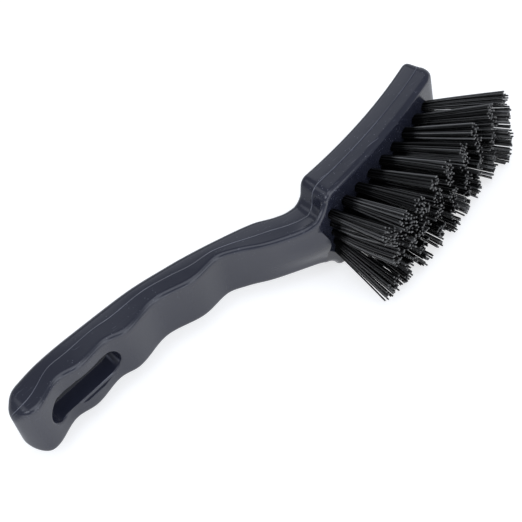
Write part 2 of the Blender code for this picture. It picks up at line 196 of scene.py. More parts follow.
@dataclass(frozen=True)
class MouldedPolypropylene(Finish):
    """Carbon-filled polypropylene, injection moulded in a lightly blasted steel tool.

    The carbon makes it a dark blue-grey that never gets quite black. The blasted tool leaves a
    satin skin with a very fine grain, the melt leaves slow changes of gloss, and handling leaves
    short pale scuffs and specks. Along the parting ridge, patches are painted pale, a painted
    highlight for the light line that the ridge catches.
    """

    name: str = "moulded_conductive_polypropylene"
    colour: str = "222430"
    pale_colour: str = "272935"
    tone_flow: tuple = (0.35, 0.68)
    scuff_and_highlight_colour: str = "7c7f8c"
    roughness: float = 0.18
    gloss_flow: tuple = (0.3, 0.7)
    gloss_change: tuple = (-0.03, 0.04)
    scuff_roughness: float = 0.18
    ior: float = 1.52
    flow_mm: float = 26.0
    # The real grain is about 0.05 mm and too fine to show, so it is drawn coarser.
    grain_mm: float = 0.45
    wave_mm: float = 7.0
    wave_weight: float = 3.0
    relief_strength: float = 0.35
    relief_mm: float = 0.04
    scuff_length_mm: float = 9.0
    # Real scuffs are about 0.1 mm wide and too fine to show, so they are drawn wider.
    scuff_width_mm: float = 0.45
    scuff_turn: tuple = (0.0, 0.3, 0.12)
    scuffs: SoftStep = SoftStep(0.68, 0.78, 0.0, 0.45)
    speck_mm: float = 1.4
    specks: SoftStep = SoftStep(0.07, 0.16, 0.55, 0.0)
    wear_mm: float = 14.0
    wear: SoftStep = SoftStep(0.40, 0.54)
    worn_heights: tuple = (0.022, 0.034)
    # How pale the painted highlight on the parting ridge is, in patches.
    flash: SoftStep = SoftStep(0.38, 0.56, 0.25, 0.62)

    def surface(self, tree: NodeTree, place: NodeSocket) -> Node:
        """Add the satin plastic with its marks and its grain.

        Args:
            tree: the material's tree.
            place: the surface's place in metres.

        Returns:
            The shader.
        """
        flow = add_node(tree, "ShaderNodeTexNoise",
                        {"Vector": place, "Scale": 1 / (self.flow_mm * MM), "Detail": 3.0})
        tone = add_node(tree, "ShaderNodeValToRGB", {0: flow},
                        [(self.tone_flow[0], linear(self.colour)),
                         (self.tone_flow[1], linear(self.pale_colour))])
        # The marks are real scuffs and specks, plus a painted highlight along the parting ridge.
        marks = self.marks(tree, place)
        # A Mix node set to colours takes them at 6 and 7 and gives the result at 2.
        colour = add_node(tree, "ShaderNodeMix", {0: marks, 6: tone, 7: linear(self.scuff_and_highlight_colour)},
                          data_type="RGBA").outputs[2]
        gloss = add_node(tree, "ShaderNodeMapRange",
                         {0: flow, 1: self.gloss_flow[0], 2: self.gloss_flow[1],
                          3: self.roughness + self.gloss_change[0],
                          4: self.roughness + self.gloss_change[1]})
        rough = add_node(tree, "ShaderNodeMath", {0: marks, 1: self.scuff_roughness, 2: gloss},
                         operation="MULTIPLY_ADD")
        grain = add_node(tree, "ShaderNodeTexNoise",
                         {"Vector": place, "Scale": 1 / (self.grain_mm * MM), "Detail": 2.0})
        waves = add_node(tree, "ShaderNodeTexNoise",
                         {"Vector": place, "Scale": 1 / (self.wave_mm * MM), "Detail": 1.0})
        relief = add_node(tree, "ShaderNodeMath", {0: waves, 1: self.wave_weight, 2: grain},
                          operation="MULTIPLY_ADD")
        bump = add_node(tree, "ShaderNodeBump", {"Strength": self.relief_strength,
                                                 "Distance": self.relief_mm * MM, "Height": relief})
        return add_node(tree, "ShaderNodeBsdfPrincipled",
                        {"Base Color": colour, "Roughness": rough, "Normal": bump, "IOR": self.ior})

    def marks(self, tree: NodeTree, place: NodeSocket) -> Node:
        """Add short scuffs along the brush, scattered specks and a painted highlight along the parting ridge.

        Args:
            tree: the material's tree.
            place: the surface's place in metres.

        Returns:
            A value from 0, clean, to 1, scuffed or painted pale as a highlight on the ridge.
        """
        sizes = (self.scuff_length_mm, self.scuff_width_mm, self.scuff_width_mm)
        stretched = add_node(tree, "ShaderNodeMapping",
                             {"Vector": place, "Rotation": self.scuff_turn,
                              "Scale": tuple(1 / (size * MM) for size in sizes)})
        lines = add_node(tree, "ShaderNodeTexNoise", {"Vector": stretched, "Scale": 1.0, "Detail": 1.0})
        scuffs = add_node(tree, "ShaderNodeValToRGB", {0: lines}, self.scuffs.stops())
        dots = add_node(tree, "ShaderNodeTexVoronoi", {"Vector": place, "Scale": 1 / (self.speck_mm * MM)})
        specks = add_node(tree, "ShaderNodeValToRGB", {0: dots}, self.specks.stops())
        both = add_node(tree, "ShaderNodeMath", {0: scuffs, 1: specks}, operation="MAXIMUM")
        patches = add_node(tree, "ShaderNodeTexNoise",
                           {"Vector": place, "Scale": 1 / (self.wear_mm * MM), "Detail": 2.0})
        worn = add_node(tree, "ShaderNodeValToRGB", {0: patches}, self.wear.stops())
        height = add_node(tree, "ShaderNodeSeparateXYZ", {0: place}).outputs["Z"]
        upper = add_node(tree, "ShaderNodeMapRange",
                         {0: height, 1: self.worn_heights[0], 2: self.worn_heights[1]})
        touched = add_node(tree, "ShaderNodeMath", {0: worn, 1: upper}, operation="MULTIPLY")
        handled = add_node(tree, "ShaderNodeMath", {0: both, 1: touched}, operation="MULTIPLY")
        # Painted highlight: patches of the parting ridge's crest are painted pale, in the scuff colour.
        seam = add_node(tree, "ShaderNodeAttribute", attribute_name="seam").outputs["Fac"]
        trimmed = add_node(tree, "ShaderNodeValToRGB", {0: patches}, self.flash.stops())
        flash = add_node(tree, "ShaderNodeMath", {0: seam, 1: trimmed}, operation="MULTIPLY")
        return add_node(tree, "ShaderNodeMath", {0: handled, 1: flash}, operation="MAXIMUM")


@dataclass(frozen=True)
class DrawnNylon(Finish):
    """Black nylon filament, drawn through a round die and trimmed by a spinning blade.

    The drawn skin is smooth, so each filament shows one thin line of light. A random tone for each
    filament, from near black to pale and glossier, is painted shade between the filaments and a
    painted highlight for their lit lines. Towards the roots, tone and gloss are painted lower still,
    a painted shade of the head and the packed tuft. The cut ends are rough and scatter light,
    which makes them paler than the sides.
    """

    name: str = "drawn_black_nylon"
    # Random tones from colour to pale_colour are painted shade and painted highlight: dark strands for the
    # gaps between filaments, pale ones for their lit lines.
    colour: str = "050505"
    middle_colour: str = "080808"
    pale_colour: str = "565656"
    middle_tone_stop: float = 0.6
    cut_colour: str = "484848"
    cut: SoftStep = SoftStep(0.985, 0.999)
    cut_roughness: float = 0.35
    roughness: float = 0.15
    ior: float = 1.53
    shine: tuple = (0.10, 1.0)
    # Painted shade at the roots: from the root to the end of this run along the filament, tone and gloss are
    # painted lower, down to the level below at the root.
    root_shade: tuple = (0.17, 0.42)
    root_shade_level: float = 0.2
    # The real lines of the die are about 0.02 mm wide and too fine to show, so they are drawn coarser.
    die_line_mm: float = 0.6
    relief_strength: float = 0.25
    relief_mm: float = 0.03

    def surface(self, tree: NodeTree, place: NodeSocket) -> Node:
        """Add the dark gloss along the filament and its pale rough end.

        Args:
            tree: the material's tree.
            place: the surface's place in metres.

        Returns:
            The shader.
        """
        tone = add_node(tree, "ShaderNodeAttribute", attribute_name="tone").outputs["Fac"]
        along = add_node(tree, "ShaderNodeAttribute", attribute_name="along").outputs["Fac"]
        # Painted shade at the roots, times the random tone's painted highlight and shade, sets each strand's
        # colour and gloss.
        root_shade = add_node(tree, "ShaderNodeMapRange",
                          {0: along, 1: self.root_shade[0], 2: self.root_shade[1], 3: self.root_shade_level})
        tone_and_root_shade = add_node(tree, "ShaderNodeMath", {0: tone, 1: root_shade}, operation="MULTIPLY")
        shine = add_node(tree, "ShaderNodeMapRange", {0: tone_and_root_shade, 3: self.shine[0], 4: self.shine[1]})
        side = add_node(tree, "ShaderNodeValToRGB", {0: tone_and_root_shade},
                        [(0.0, linear(self.colour)), (self.middle_tone_stop, linear(self.middle_colour)),
                         (1.0, linear(self.pale_colour))])
        cut = add_node(tree, "ShaderNodeValToRGB", {0: along}, self.cut.stops())
        colour = add_node(tree, "ShaderNodeMix", {0: cut, 6: side, 7: linear(self.cut_colour)},
                          data_type="RGBA").outputs[2]
        rough = add_node(tree, "ShaderNodeMath", {0: cut, 1: self.cut_roughness, 2: self.roughness},
                         operation="MULTIPLY_ADD")
        lines = add_node(tree, "ShaderNodeTexNoise",
                         {"Vector": place, "Scale": 1 / (self.die_line_mm * MM), "Detail": 1.0})
        bump = add_node(tree, "ShaderNodeBump", {"Strength": self.relief_strength,
                                                 "Distance": self.relief_mm * MM, "Height": lines})
        return add_node(tree, "ShaderNodeBsdfPrincipled",
                        {"Base Color": colour, "Roughness": rough, "Normal": bump, "IOR": self.ior,
                         "Specular IOR Level": shine})


@dataclass(frozen=True)
class GalvanisedSteel(Finish):
    """Flat steel wire with a hot-dip zinc skin, cut for the anchors.

    Zinc gives it a soft grey shine with cloudy changes of gloss.
    """

    name: str = "galvanised_steel_wire"
    colour: str = "a9adb2"
    roughness: tuple = (0.28, 0.48)
    cloud_mm: float = 1.5

    def surface(self, tree: NodeTree, place: NodeSocket) -> Node:
        """Add the metal with its clouds of gloss.

        Args:
            tree: the material's tree.
            place: the surface's place in metres.

        Returns:
            The shader.
        """
        clouds = add_node(tree, "ShaderNodeTexNoise",
                          {"Vector": place, "Scale": 1 / (self.cloud_mm * MM), "Detail": 2.0})
        rough = add_node(tree, "ShaderNodeMapRange",
                         {0: clouds, 3: self.roughness[0], 4: self.roughness[1]})
        return add_node(tree, "ShaderNodeBsdfPrincipled",
                        {"Base Color": linear(self.colour), "Metallic": 1.0, "Roughness": rough})


@dataclass(frozen=True)
class PaperSweep(Finish):
    """White paper under the object, lit to white in the photograph, that keeps the object's shadow.

    The paper glows where the object's gloss mirrors it, a painted reflection for the lamps that
    stand in front: bright in front and darker towards the back.
    """

    name: str = "white_paper_sweep"
    colour: str = "fbfcfd"
    white: str = "ffffff"
    shown_share: float = 0.40
    shown_strength: float = 1.60
    mirrored_strengths: tuple = (2.70, 0.10)
    fall: tuple = (-0.020, 0.036)

    def surface(self, tree: NodeTree, place: NodeSocket) -> Node:
        """Add matt paper, under the white that the camera and the object's gloss see.

        Args:
            tree: the material's tree.
            place: the surface's place in metres.

        Returns:
            The shader.
        """
        rays = add_node(tree, "ShaderNodeLightPath").outputs
        seen = add_node(tree, "ShaderNodeMath", {0: rays["Is Camera Ray"], 1: rays["Is Glossy Ray"]},
                        operation="MAXIMUM")
        share = add_node(tree, "ShaderNodeMath", {0: seen, 1: self.shown_share}, operation="MULTIPLY")
        back = add_node(tree, "ShaderNodeSeparateXYZ", {0: place}).outputs["Y"]
        # Painted reflection: the glow that gloss sees falls from bright in front to dim at the back.
        mirrored = add_node(tree, "ShaderNodeMapRange",
                            {0: back, 1: self.fall[0], 2: self.fall[1],
                             3: self.mirrored_strengths[0], 4: self.mirrored_strengths[1]})
        level = add_node(tree, "ShaderNodeMapRange",
                         {0: rays["Is Camera Ray"], 3: mirrored, 4: self.shown_strength})
        paper = add_node(tree, "ShaderNodeBsdfDiffuse", {"Color": linear(self.colour)})
        glow = add_node(tree, "ShaderNodeEmission", {"Color": linear(self.white), "Strength": level})
        return add_node(tree, "ShaderNodeMixShader", {0: share, 1: paper, 2: glow})


@dataclass(frozen=True)
class EndRound:
    """Elliptical rounding of an end of the body."""

    run: float
    depth: float

    def cut(self, distance: float) -> float:
        """How much the rounding takes off.

        Args:
            distance: how far inside the end it is.

        Returns:
            The depth that is taken off there.
        """
        if distance >= self.run:
            return 0.0
        return self.depth * (1 - sqrt(1 - (1 - distance / self.run) ** 2))


@dataclass(frozen=True)
class Station:
    """One section of the body: its place and half width in plan, the turn of its outline, its edges.

    The rim is how far its front edge stands out past the half width, and rim_turn is that edge's
    own turn.
    """

    x: float
    side: float
    turn: float
    front_fillet: float
    back_fillet: float
    head: bool
    bow: float = 0.0
    rim: float = 0.0
    rim_turn: float = 0.0


def ease(t: float) -> float:
    """Smooth change from 0 to 1."""
    t = min(max(t, 0.0), 1.0)
    return t * t * (3 - 2 * t)


def swell(share: float) -> float:
    """Height of a soft crest at a share of its half width, 1 in its middle and 0 at its edge."""
    return (1 + cos(pi * min(share, 1.0))) / 2


def spaced(start: float, end: float, steps: int) -> list[float]:
    """Evenly spaced places from start up to, but not with, end."""
    return [start + (end - start) * step / steps for step in range(steps)]


def quarter_round(radius: float, steps: int) -> list[tuple[float, float]]:
    """Points of a rounded edge, by how far inside the side and how far below the face each lies."""
    turns = [pi / 2 * step / steps for step in range(steps + 1)]
    return [(radius * (1 - sin(turn)), radius * (1 - cos(turn))) for turn in turns]


def arc_level(x: float, start_x: float, start_level: float, slope: float, radius: float) -> float:
    """Level of an arc that curves towards the back.

    Args:
        x: the place along the brush.
        start_x: where the arc starts.
        start_level: its level there.
        slope: its slope there, in radians.
        radius: the arc's radius.

    Returns:
        The level at x.
    """
    turn = asin(sin(slope) + (x - start_x) / radius)
    return start_level + radius * (cos(slope) - cos(turn))


def smooth_level(outline: tuple, x: float) -> float:
    """Level of a cubic curve through an outline's points, with no overshoot between them.

    Args:
        outline: (place, level) of each point, in order.
        x: the place along the brush.

    Returns:
        The level at x.
    """
    places, levels = zip(*outline)
    x = min(max(x, places[0]), places[-1])
    index = min(bisect_right(places, x) - 1, len(places) - 2)
    rises = [(levels[i + 1] - levels[i]) / (places[i + 1] - places[i]) for i in range(len(places) - 1)]

    def slope(i: int) -> float:
        """Work out the slope of the curve at one of its points.

        Args:
            i: the point's number.

        Returns:
            The slope there.
        """
        if i in (0, len(places) - 1):
            return rises[min(i, len(rises) - 1)]
        before, after = rises[i - 1], rises[i]
        return 2 * before * after / (before + after) if before * after > 0 else 0.0

    run = places[index + 1] - places[index]
    t = (x - places[index]) / run
    return (levels[index] * (1 + 2 * t) * (1 - t) ** 2 + levels[index + 1] * t * t * (3 - 2 * t)
            + run * slope(index) * t * (1 - t) ** 2 - run * slope(index + 1) * t * t * (1 - t))


def bridge(bm: bmesh.types.BMesh, rings: list[list]) -> None:
    """Join closed rings of vertices one after the other, and close both ends with a fan.

    Args:
        bm: the mesh they are in.
        rings: the rings, all with the same number of vertices.
    """
    for ring, following in zip(rings, rings[1:]):
        for i in range(len(ring)):
            j = (i + 1) % len(ring)
            bm.faces.new((ring[i], ring[j], following[j], following[i]))
    ends = [bm.faces.new(rings[0]), bm.faces.new(rings[-1])]
    bmesh.ops.poke(bm, faces=ends)


def mesh_from(bm: bmesh.types.BMesh, name: str) -> Mesh:
    """Turn a bmesh into a mesh whose faces point out.

    Args:
        bm: the bmesh, which is freed.
        name: the mesh's name.

    Returns:
        The mesh.
    """
    bmesh.ops.recalc_face_normals(bm, faces=bm.faces)
    mesh = bpy.data.meshes.new(name)
    bm.to_mesh(mesh)
    bm.free()
    return mesh


def add_object(name: str, data: bpy.types.ID) -> Object:
    """Put a mesh, lamp or camera in the scene.

    Args:
        name: the object's name.
        data: the mesh, lamp or camera.

    Returns:
        The object.
    """
    obj = bpy.data.objects.new(name, data)
    bpy.context.scene.collection.objects.link(obj)
    return obj


def baked(obj: Object) -> Mesh:
    """Plain mesh of an object with its modifiers applied."""
    graph = bpy.context.evaluated_depsgraph_get()
    return bpy.data.meshes.new_from_object(obj.evaluated_get(graph))


@dataclass
class MouldedBody:
    """Handle, neck and head, moulded in one piece with a hang slot and drilled tuft holes."""

    handle_length: float = 0.122
    head_length: float = 0.0741
    head_width: float = 0.0374
    handle_width: float = 0.0205
    neck_width: float = 0.0190
    tail_width: float = 0.0240
    grip_outline: tuple = (
        (-0.1220, 0.0096), (-0.1155, 0.0073), (-0.1023, 0.0119), (-0.0953, 0.0108), (-0.0829, 0.0131),
        (-0.0758, 0.0115), (-0.0610, 0.0146), (-0.0456, 0.0115), (-0.0350, 0.0128), (-0.0275, 0.0096),
        (-0.0199, 0.0047), (-0.0112, 0.0005), (-0.0055, -0.0018), (-0.0010, -0.0031),
    )
    back_outline: tuple = (
        (-0.1220, 0.0204), (-0.1156, 0.0222), (-0.1050, 0.0246), (-0.0880, 0.0263), (-0.0674, 0.0275),
        (-0.0479, 0.0254), (-0.0292, 0.0216), (-0.0156, 0.0182), (-0.0085, 0.0143), (-0.0033, 0.0126),
        (0.0050, 0.0124),
    )
    fairing: float = 0.0012
    fairing_weights: tuple = ((-1.0, 0.15), (-0.5, 0.2), (0.0, 0.3), (0.5, 0.2), (1.0, 0.15))
    flare: tuple = (-0.065, -0.105)
    waist: tuple = (-0.035, -0.012)
    face_heel_level: float = -0.0029
    face_heel_slope: float = radians(6.4)
    face_radius: float = 0.330
    head_back_slope: float = radians(4.1)
    head_back_radius: float = 0.225
    head_lean: float = 0.16
    lean_start: float = 0.004
    lean_end: float = 0.030
    lean_rounds: int = 4
    dome_start: float = -0.026
    dome_height: float = 0.0019
    crease_edge: float = -0.0024
    crease_bow: float = 0.0022
    lip_run: float = 0.0007
    step_start: float = -0.0014
    step_turn: float = radians(76)
    step_hollow_radius: float = 0.0042
    step_corner_radius: float = 0.0040
    rim_start: float = -0.0125
    rim_width: float = 0.0012
    rim_power: int = 4
    handle_front_fillet: float = 0.0019
    handle_back_fillet: float = 0.0040
    head_front_fillet: float = 0.0020
    head_back_fillet: float = 0.0025
    fullest_fillet_share: float = 0.42
    tail_back_round: EndRound = EndRound(0.0080, 0.0056)
    tail_front_round: EndRound = EndRound(0.0060, 0.0044)
    tail_side_round: EndRound = EndRound(0.0060, 0.0060)
    tip_back_round: EndRound = EndRound(0.0026, 0.0025)
    tip_front_round: EndRound = EndRound(0.0066, 0.0060)
    tip_side_round: EndRound = EndRound(0.0050, 0.0050)
    parting_outline: tuple = (
        (-0.1220, 0.30), (-0.1100, 0.45), (-0.1010, 0.66), (-0.0820, 0.72), (-0.0680, 0.72), (-0.0510, 0.68),
        (-0.0400, 0.52), (0.0, 0.50), (0.0700, 0.50),
    )
    parting_steps: tuple = (2, 1, 0, -1, -2)
    parting_rise: float = 0.00013
    parting_half_width: float = 0.00022
    widest_share: float = 0.2
    slot_length: float = 0.0310
    slot_width: float = 0.0102
    slot_from_tail: float = 0.0105
    slot_draft: float = radians(3.5)
    slot_rim: float = 0.0009
    slot_mouth: tuple = ((0.0016, -0.003), (0.0002, -0.0006), (0.00005, -0.00002))
    slot_flash: float = 0.00018
    slot_flash_slope: float = 1.5
    sharp_turn: float = radians(38)
    hole_sides: int = 24
    tail_steps: int = 18
    handle_steps: int = 150
    step_steps: int = 10
    riser_steps: int = 4
    head_steps: int = 44
    tip_steps: int = 16
    fillet_steps: int = 7
    flat_steps: int = 8
    rim_steps: int = 5
    slot_end_steps: int = 18
    slot_rim_steps: int = 6

    @property
    def tail_end(self) -> float:
        """Place of the tail's end."""
        return -self.handle_length

    @property
    def hollow_end(self) -> float:
        """Place where the step's hollow corner ends and its riser starts."""
        return self.step_start + self.step_hollow_radius * sin(self.step_turn)

    @property
    def step_corner(self) -> float:
        """Work out where the riser's outer end is.

        Returns:
            Its place along the brush.
        """
        bends = (self.step_hollow_radius + self.step_corner_radius) * (1 - cos(self.step_turn))
        rise = (self.head_width - self.neck_width) / 2 - bends
        return self.hollow_end + rise / tan(self.step_turn)

    @property
    def step_end(self) -> float:
        """Place where the head reaches its full width."""
        return self.step_corner + self.step_corner_radius * sin(self.step_turn)

    def place(self) -> Vector:
        """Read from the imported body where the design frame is.

        Returns:
            The shift from the design frame to the frame of the solids.
        """
        low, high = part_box("handle_body")
        crest = max(level for _, level in self.back_outline)
        return Vector((low.x - self.tail_end, high.y - crest, (low.z + high.z) / 2))

    def level(self, curve: LevelCurve, x: float) -> float:
        """Level of a long outline, faired over a short length so that it bends evenly.

        Args:
            curve: which outline.
            x: the place along the brush.

        Returns:
            The level at x.
        """
        outline = self.grip_outline if curve is LevelCurve.GRIP else self.back_outline
        return sum(weight * smooth_level(outline, x + shift * self.fairing)
                   for shift, weight in self.fairing_weights)

    def grip_face(self, x: float) -> float:
        """Level of the grip side, with the rounding of the tail."""
        return self.level(LevelCurve.GRIP, x) + self.tail_front_round.cut(x - self.tail_end)

    def face_level(self, x: float) -> float:
        """Level of the bristle face."""
        return arc_level(x, 0.0, self.face_heel_level, self.face_heel_slope, self.face_radius)

    def back_level(self, x: float) -> float:
        """Level of the back, along the handle and then along the head's arc.

        Args:
            x: the place along the brush.

        Returns:
            The level at x.
        """
        join_x, join_level = self.back_outline[-1]
        if x < join_x:
            return self.level(LevelCurve.BACK, x)
        return arc_level(x, join_x, join_level, self.head_back_slope, self.head_back_radius)

    def lean_at(self, x: float) -> float:
        """Lean of the sections at a place: none up to the step, full further along the head."""
        return self.head_lean * ease((x - self.lean_start) / (self.lean_end - self.lean_start))

    def rim_at(self, x: float, side: float) -> tuple[float, float]:
        """How the front edge sweeps up to the head in a longer curve than the back.

        Args:
            x: the place along the brush.
            side: half width of the section there.

        Returns:
            How far the edge stands out past the section, and the turn of the edge.
        """
        full = self.head_width / 2 - self.neck_width / 2 - self.step_corner_radius
        run = self.hollow_end - self.rim_start
        share = (x - self.rim_start) / run
        if share <= 0:
            return 0.0, 0.0
        if share <= 1:
            slope = self.rim_power * full / run * share ** (self.rim_power - 1)
            return max(0.0, self.neck_width / 2 + full * share ** self.rim_power - side), atan(slope)
        hollow = self.step_hollow_radius * (1 - cos(self.step_turn))
        left = max(0.0, 1 - (x - self.hollow_end) / (self.step_corner - self.hollow_end))
        return (full - hollow) * left, self.step_turn

    def handle_station(self, x: float, bow: float = 0.0) -> Station:
        """Section of the handle, narrowed where it nears the rounded tail.

        Args:
            x: its place along the brush.
            bow: how far its middle bows towards the head on the grip side.

        Returns:
            The section.
        """
        flare = ease((self.flare[0] - x) / (self.flare[0] - self.flare[1]))
        waist = ease((x - self.waist[0]) / (self.waist[1] - self.waist[0]))
        width = (self.handle_width + flare * (self.tail_width - self.handle_width)
                 + waist * (self.neck_width - self.handle_width))
        side = width / 2 - self.tail_side_round.cut(x - self.tail_end)
        return Station(x, side, 0.0, self.handle_front_fillet, self.handle_back_fillet, False, bow,
                       *self.rim_at(x, side))

    def head_station(self, x: float, side: float, turn: float = 0.0, bow: float = 0.0) -> Station:
        """Section of the head, narrowed where it nears the rounded tip.

        Args:
            x: its place along the brush.
            side: half width of the outline there.
            turn: how far the outline turns from the brush's length there.
            bow: how far its middle bows towards the tip on the bristle face.

        Returns:
            The section.
        """
        blend = ease((x - self.step_start) / (self.step_corner - self.step_start))
        front = self.handle_front_fillet + blend * (self.head_front_fillet - self.handle_front_fillet)
        back = self.handle_back_fillet + blend * (self.head_back_fillet - self.handle_back_fillet)
        side -= self.tip_side_round.cut(self.head_length - x)
        rim, rim_turn = self.rim_at(x, side)
        return Station(x, side, turn, front, back, True, bow, rim, rim_turn if rim > 0 else turn)

    def step_stations(self) -> list[Station]:
        """Lay out the step from the neck to the head: hollow corner, slanted riser, outer corner.

        Returns:
            Its sections.
        """
        turns = spaced(0.0, self.step_turn, self.step_steps) + [self.step_turn]
        hollow = [self.head_station(self.step_start + self.step_hollow_radius * sin(turn),
                                    self.neck_width / 2 + self.step_hollow_radius * (1 - cos(turn)), turn)
                  for turn in turns]
        corner = [self.head_station(self.step_end - self.step_corner_radius * sin(turn),
                                    self.head_width / 2 - self.step_corner_radius * (1 - cos(turn)), turn)
                  for turn in reversed(turns)]
        foot, top = hollow[-1], corner[0]
        riser = [self.head_station(foot.x + share * (top.x - foot.x),
                                   foot.side + share * (top.side - foot.side), self.step_turn)
                 for share in spaced(0.0, 1.0, self.riser_steps)[1:]]
        return hollow + riser + corner

    def stations(self) -> list[Station]:
        """Lay out the body from the tail to the tip.

        Returns:
            Every section.
        """
        tail_run = max(self.tail_back_round.run, self.tail_front_round.run, self.tail_side_round.run)
        tip_run = max(self.tip_back_round.run, self.tip_front_round.run, self.tip_side_round.run)
        places = [self.tail_end + tail_run * (1 - cos(turn))
                  for turn in spaced(0.0, pi / 2, self.tail_steps)]
        places += spaced(self.tail_end + tail_run, self.crease_edge - self.lip_run, self.handle_steps)
        stations = [self.handle_station(x) for x in places]
        stations.append(self.handle_station(self.crease_edge, self.crease_bow))
        stations.append(self.head_station(self.crease_edge + self.lip_run, self.neck_width / 2, 0.0,
                                          self.crease_bow))
        stations += self.step_stations()
        places = spaced(self.step_end, self.head_length - tip_run, self.head_steps)[1:]
        places += [self.head_length - tip_run * (1 - sin(turn))
                   for turn in spaced(0.0, pi / 2, self.tip_steps)]
        places.append(self.head_length)
        return stations + [self.head_station(x, self.head_width / 2) for x in places]

    def front_point(self, station: Station, inset: float, drop: float, share: float) -> tuple:
        """Point on the grip side or the bristle face.

        Args:
            station: the section it is on.
            inset: how far inside the plan outline it is.
            drop: how far it lies behind the face, on the edge's rounding.
            share: its place across the flat, 0 in the middle and 1 at the edge.

        Returns:
            Its place in the design frame.
        """
        flat = station.side + station.rim - cos(station.rim_turn) * inset
        x = station.x + sin(station.rim_turn) * inset + station.bow * swell(share)
        if station.head:
            level = self.face_level(x) + self.tip_front_round.cut(self.head_length - x)
        else:
            dome = self.dome_height * ease((x - self.dome_start) / -self.dome_start)
            level = self.grip_face(x) - dome * swell(share)
        return (x - self.lean_at(x) * drop, level + drop, share * flat)

    def back_point(self, station: Station, inset: float, drop: float, share: float) -> tuple:
        """Point on the back, where the head leans back from its bristle face.

        Args:
            station: the section it is on.
            inset: how far inside the plan outline it is.
            drop: how far it lies in front of the back, on the edge's rounding.
            share: its place across the flat, 0 in the middle and 1 at the edge.

        Returns:
            Its place in the design frame.
        """
        flat = station.side - cos(station.turn) * inset
        reference = station.x + sin(station.turn) * inset
        front = self.face_level(reference) if station.head else self.level(LevelCurve.GRIP, reference)
        ends = self.tail_back_round.cut(reference - self.tail_end)
        ends += self.tip_back_round.cut(self.head_length - reference)
        x = reference
        for _ in range(self.lean_rounds):
            y = self.back_level(x) - ends - drop
            x = reference - self.lean_at(reference) * (y - front)
        return (x, y, share * flat)

    def parting_points(self, station: Station, above: tuple, below: tuple) -> list[tuple]:
        """Points across the fine ridge that the two halves of the mould leave along the side.

        Args:
            station: the section they are on.
            above: the last point of the back's rounding.
            below: the first point of the front's rounding.

        Returns:
            Five points from the back to the front.
        """
        height = above[1] - below[1]
        half = min(self.parting_half_width, self.widest_share * height)
        points = []
        for step in self.parting_steps:
            share = smooth_level(self.parting_outline, station.x) + step * half / height
            rise = 0.0 if step else self.parting_rise
            x, y, z = (b + share * (a - b) for a, b in zip(above, below))
            points.append((x - sin(station.turn) * rise, y, z + cos(station.turn) * rise))
        return points

    def half_section(self, station: Station) -> list[tuple]:
        """Work out one section of the body.

        Args:
            station: the section.

        Returns:
            Its points from the middle of the back, round one side, to the middle of the front.
        """
        front_edge = self.front_point(station, 0.0, 0.0, 1.0)
        back_edge = self.back_point(station, 0.0, 0.0, 1.0)
        fullest = self.fullest_fillet_share * min(back_edge[1] - front_edge[1], 2 * station.side)
        back_fillet = min(station.back_fillet, fullest)
        front_fillet = min(station.front_fillet, fullest)
        flats = spaced(0.0, 1.0, self.flat_steps)
        back = [self.back_point(station, back_fillet, 0.0, share) for share in flats]
        back += [self.back_point(station, inset, drop, 1.0)
                 for inset, drop in quarter_round(back_fillet, self.fillet_steps)]
        foot = self.front_point(replace(station, rim=0.0), 0.0, front_fillet, 1.0)
        edge = self.front_point(station, 0.0, front_fillet, 1.0)
        rim_width = min(self.rim_width, self.widest_share * (back[-1][1] - foot[1]))
        front = [(edge[0], foot[1] + (1 - share) * rim_width, foot[2] + ease(share) * (edge[2] - foot[2]))
                 for share in spaced(0.0, 1.0, self.rim_steps)]
        front += [self.front_point(station, inset, drop, 1.0)
                  for drop, inset in quarter_round(front_fillet, self.fillet_steps)]
        front += [self.front_point(station, front_fillet, 0.0, share) for share in reversed(flats)]
        return back + self.parting_points(station, back[-1], foot) + front

    def loft(self) -> Mesh:
        """Loft the body through all of its sections, and close it at the tail and the tip.

        Returns:
            The mesh, which marks the crest of the parting ridge as its seam.
        """
        bm = bmesh.new()
        seam = bm.verts.layers.float.new("seam")
        crest = self.flat_steps + self.fillet_steps + 1 + self.parting_steps.index(0)
        rings = []
        for station in self.stations():
            half = self.half_section(station)
            other_half = [(x, y, -z) for x, y, z in half[-2:0:-1]]
            ring = [bm.verts.new(point) for point in half + other_half]
            ring[crest][seam] = ring[-crest][seam] = 1.0
            rings.append(ring)
        bridge(bm, rings)
        return mesh_from(bm, "loft")

    def stadium(self, growth: float) -> list[tuple[float, float]]:
        """Outline of the slot in X and Z, grown all round.

        Args:
            growth: how far it is grown.

        Returns:
            Its points round the slot's own middle.
        """
        radius = self.slot_width / 2 + growth
        reach = (self.slot_length - self.slot_width) / 2
        points = []
        for side, start in ((1, -pi / 2), (-1, pi / 2)):
            for step in range(self.slot_end_steps + 1):
                turn = start + pi * step / self.slot_end_steps
                points.append((side * reach + radius * cos(turn), radius * sin(turn)))
        return points

    def slot_cutter(self) -> Mesh:
        """Cutter for the hang slot: drafted from the parting line to both mouths, with rounded rims.

        Returns:
            The cutter's mesh.
        """
        middle = self.tail_end + self.slot_from_tail + self.slot_length / 2
        reach = (self.level(LevelCurve.BACK, middle) - self.level(LevelCurve.GRIP, middle)) / 2
        waist = -reach * tan(self.slot_draft)
        mouth = [(self.slot_rim + growth, depth) for growth, depth in self.slot_mouth]
        mouth += quarter_round(self.slot_rim, self.slot_rim_steps)[1:]

        def parting(x: float) -> float:
            """Level halfway through the handle."""
            return (self.level(LevelCurve.GRIP, x) + self.back_level(x)) / 2

        def back(x: float) -> float:
            """Level of the back, with the rounding of the tail."""
            return self.back_level(x) - self.tail_back_round.cut(x - self.tail_end)

